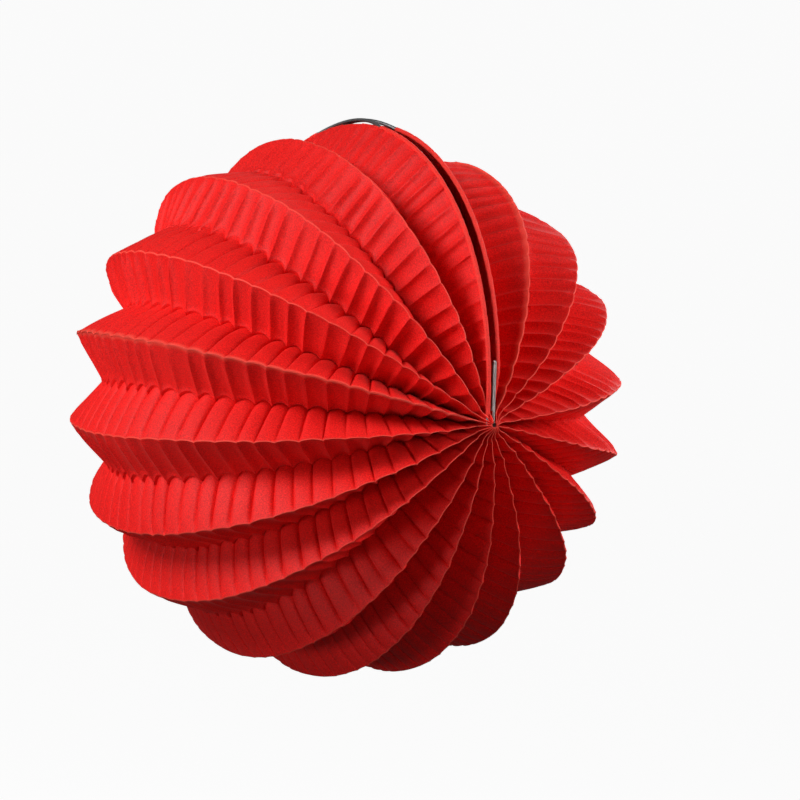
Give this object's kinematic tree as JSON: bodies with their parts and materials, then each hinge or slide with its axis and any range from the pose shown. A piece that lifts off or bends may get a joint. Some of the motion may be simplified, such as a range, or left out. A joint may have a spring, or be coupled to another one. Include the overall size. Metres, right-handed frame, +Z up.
{
  "type": "accordion paper lantern",
  "caption": "Ball-shaped lantern of crimped paper pleats that fan round a level axis, with a wire hoop hemmed into each edge of its open seam and bare wire at the top to hang it by.",
  "frame": {"origin": "the hanging point: the middle of the bare stretch of the two hoops, level with the underside of their wire, half way between them", "axes": "+X from the far pole to the near pole, along the fan axis; +Z up through the open seam; +Y towards hoop B, the side that the fan folds away from"},
  "size_m": [0.218, 0.2103, 0.2152],
  "materials": {
    "crimped_paper": "crimped, matte",
    "hem_paper": "rolled and glued, matte",
    "hoop_wire": "drawn, galvanised",
    "pin_wire": "drawn, bright"
  },
  "bodies": {
    "end_frame_a": {"hoop_a": "hoop_wire", "hem_a_near": "hem_paper", "hem_a_far": "hem_paper", "pole_pin_near": "pin_wire", "pole_pin_far": "pin_wire"},
    "end_frame_b": {"hoop_b": "hoop_wire", "hem_b_near": "hem_paper", "hem_b_far": "hem_paper"},
    "fan_part_01": {"pleat_01": "crimped_paper"},
    "fan_part_02": {"pleat_02": "crimped_paper"},
    "fan_part_03": {"pleat_03": "crimped_paper"},
    "fan_part_04": {"pleat_04": "crimped_paper"},
    "fan_part_05": {"pleat_05": "crimped_paper"},
    "fan_part_06": {"pleat_06": "crimped_paper"},
    "fan_part_07": {"pleat_07": "crimped_paper"},
    "fan_part_08": {"pleat_08": "crimped_paper"},
    "fan_part_09": {"pleat_09": "crimped_paper"},
    "fan_part_10": {"pleat_10": "crimped_paper"},
    "fan_part_11": {"pleat_11": "crimped_paper"},
    "fan_part_12": {"pleat_12": "crimped_paper"},
    "fan_part_13": {"pleat_13": "crimped_paper"},
    "fan_part_14": {"pleat_14": "crimped_paper"},
    "fan_part_15": {"pleat_15": "crimped_paper"},
    "fan_part_16": {"pleat_16": "crimped_paper"},
    "fan_part_17": {"pleat_17": "crimped_paper"},
    "fan_part_18": {"pleat_18": "crimped_paper"},
    "fan_part_19": {"pleat_19": "crimped_paper"}
  },
  "joints": [
    {"name": "fan_fold", "type": "hinge", "parent": "end_frame_a", "child": "end_frame_b", "pos_m": [0.0115, 0, -0.10725], "axis": [-1, 0, 0], "range_deg": [0, 340]},
    {"name": "pleat_01_turn", "type": "hinge", "parent": "end_frame_a", "child": "fan_part_01", "pos_m": [0.0115, 0, -0.10725], "axis": [-1, 0, 0], "range_deg": [0, 330.7], "deforming": ["pleat_01"]},
    {"name": "pleat_02_turn", "type": "hinge", "parent": "end_frame_a", "child": "fan_part_02", "pos_m": [0.0115, 0, -0.10725], "axis": [-1, 0, 0], "range_deg": [0, 310.61], "deforming": ["pleat_02"]},
    {"name": "pleat_03_turn", "type": "hinge", "parent": "end_frame_a", "child": "fan_part_03", "pos_m": [0.0115, 0, -0.10725], "axis": [-1, 0, 0], "range_deg": [0, 292.44], "deforming": ["pleat_03"]},
    {"name": "pleat_04_turn", "type": "hinge", "parent": "end_frame_a", "child": "fan_part_04", "pos_m": [0.0115, 0, -0.10725], "axis": [-1, 0, 0], "range_deg": [0, 275.7], "deforming": ["pleat_04"]},
    {"name": "pleat_05_turn", "type": "hinge", "parent": "end_frame_a", "child": "fan_part_05", "pos_m": [0.0115, 0, -0.10725], "axis": [-1, 0, 0], "range_deg": [0, 258.49], "deforming": ["pleat_05"]},
    {"name": "pleat_06_turn", "type": "hinge", "parent": "end_frame_a", "child": "fan_part_06", "pos_m": [0.0115, 0, -0.10725], "axis": [-1, 0, 0], "range_deg": [0, 241.99], "deforming": ["pleat_06"]},
    {"name": "pleat_07_turn", "type": "hinge", "parent": "end_frame_a", "child": "fan_part_07", "pos_m": [0.0115, 0, -0.10725], "axis": [-1, 0, 0], "range_deg": [0, 226.69], "deforming": ["pleat_07"]},
    {"name": "pleat_08_turn", "type": "hinge", "parent": "end_frame_a", "child": "fan_part_08", "pos_m": [0.0115, 0, -0.10725], "axis": [-1, 0, 0], "range_deg": [0, 209.71], "deforming": ["pleat_08"]},
    {"name": "pleat_09_turn", "type": "hinge", "parent": "end_frame_a", "child": "fan_part_09", "pos_m": [0.0115, 0, -0.10725], "axis": [-1, 0, 0], "range_deg": [0, 192.26], "deforming": ["pleat_09"]},
    {"name": "pleat_10_turn", "type": "hinge", "parent": "end_frame_a", "child": "fan_part_10", "pos_m": [0.0115, 0, -0.10725], "axis": [-1, 0, 0], "range_deg": [0, 176.48], "deforming": ["pleat_10"]},
    {"name": "pleat_11_turn", "type": "hinge", "parent": "end_frame_a", "child": "fan_part_11", "pos_m": [0.0115, 0, -0.10725], "axis": [-1, 0, 0], "range_deg": [0, 160.22], "deforming": ["pleat_11"]},
    {"name": "pleat_12_turn", "type": "hinge", "parent": "end_frame_a", "child": "fan_part_12", "pos_m": [0.0115, 0, -0.10725], "axis": [-1, 0, 0], "range_deg": [0, 141.81], "deforming": ["pleat_12"]},
    {"name": "pleat_13_turn", "type": "hinge", "parent": "end_frame_a", "child": "fan_part_13", "pos_m": [0.0115, 0, -0.10725], "axis": [-1, 0, 0], "range_deg": [0, 123.16], "deforming": ["pleat_13"]},
    {"name": "pleat_14_turn", "type": "hinge", "parent": "end_frame_a", "child": "fan_part_14", "pos_m": [0.0115, 0, -0.10725], "axis": [-1, 0, 0], "range_deg": [0, 104.75], "deforming": ["pleat_14"]},
    {"name": "pleat_15_turn", "type": "hinge", "parent": "end_frame_a", "child": "fan_part_15", "pos_m": [0.0115, 0, -0.10725], "axis": [-1, 0, 0], "range_deg": [0, 84.9], "deforming": ["pleat_15"]},
    {"name": "pleat_16_turn", "type": "hinge", "parent": "end_frame_a", "child": "fan_part_16", "pos_m": [0.0115, 0, -0.10725], "axis": [-1, 0, 0], "range_deg": [0, 66.25], "deforming": ["pleat_16"]},
    {"name": "pleat_17_turn", "type": "hinge", "parent": "end_frame_a", "child": "fan_part_17", "pos_m": [0.0115, 0, -0.10725], "axis": [-1, 0, 0], "range_deg": [0, 47.12], "deforming": ["pleat_17"]},
    {"name": "pleat_18_turn", "type": "hinge", "parent": "end_frame_a", "child": "fan_part_18", "pos_m": [0.0115, 0, -0.10725], "axis": [-1, 0, 0], "range_deg": [0, 26.8], "deforming": ["pleat_18"]},
    {"name": "pleat_19_turn", "type": "hinge", "parent": "end_frame_a", "child": "fan_part_19", "pos_m": [0.0115, 0, -0.10725], "axis": [-1, 0, 0], "range_deg": [0, 8.63], "deforming": ["pleat_19"]}
  ],
  "couplings": [
    {"joint": "pleat_01_turn", "follows": "fan_fold", "ratio": 0.97117},
    {"joint": "pleat_02_turn", "follows": "fan_fold", "ratio": 0.9121},
    {"joint": "pleat_03_turn", "follows": "fan_fold", "ratio": 0.85865},
    {"joint": "pleat_04_turn", "follows": "fan_fold", "ratio": 0.80942},
    {"joint": "pleat_05_turn", "follows": "fan_fold", "ratio": 0.75879},
    {"joint": "pleat_06_turn", "follows": "fan_fold", "ratio": 0.71027},
    {"joint": "pleat_07_turn", "follows": "fan_fold", "ratio": 0.66526},
    {"joint": "pleat_08_turn", "follows": "fan_fold", "ratio": 0.61533},
    {"joint": "pleat_09_turn", "follows": "fan_fold", "ratio": 0.56399},
    {"joint": "pleat_10_turn", "follows": "fan_fold", "ratio": 0.51758},
    {"joint": "pleat_11_turn", "follows": "fan_fold", "ratio": 0.46976},
    {"joint": "pleat_12_turn", "follows": "fan_fold", "ratio": 0.41561},
    {"joint": "pleat_13_turn", "follows": "fan_fold", "ratio": 0.36076},
    {"joint": "pleat_14_turn", "follows": "fan_fold", "ratio": 0.30661},
    {"joint": "pleat_15_turn", "follows": "fan_fold", "ratio": 0.24824},
    {"joint": "pleat_16_turn", "follows": "fan_fold", "ratio": 0.19339},
    {"joint": "pleat_17_turn", "follows": "fan_fold", "ratio": 0.13713},
    {"joint": "pleat_18_turn", "follows": "fan_fold", "ratio": 0.077356},
    {"joint": "pleat_19_turn", "follows": "fan_fold", "ratio": 0.02391}
  ]
}
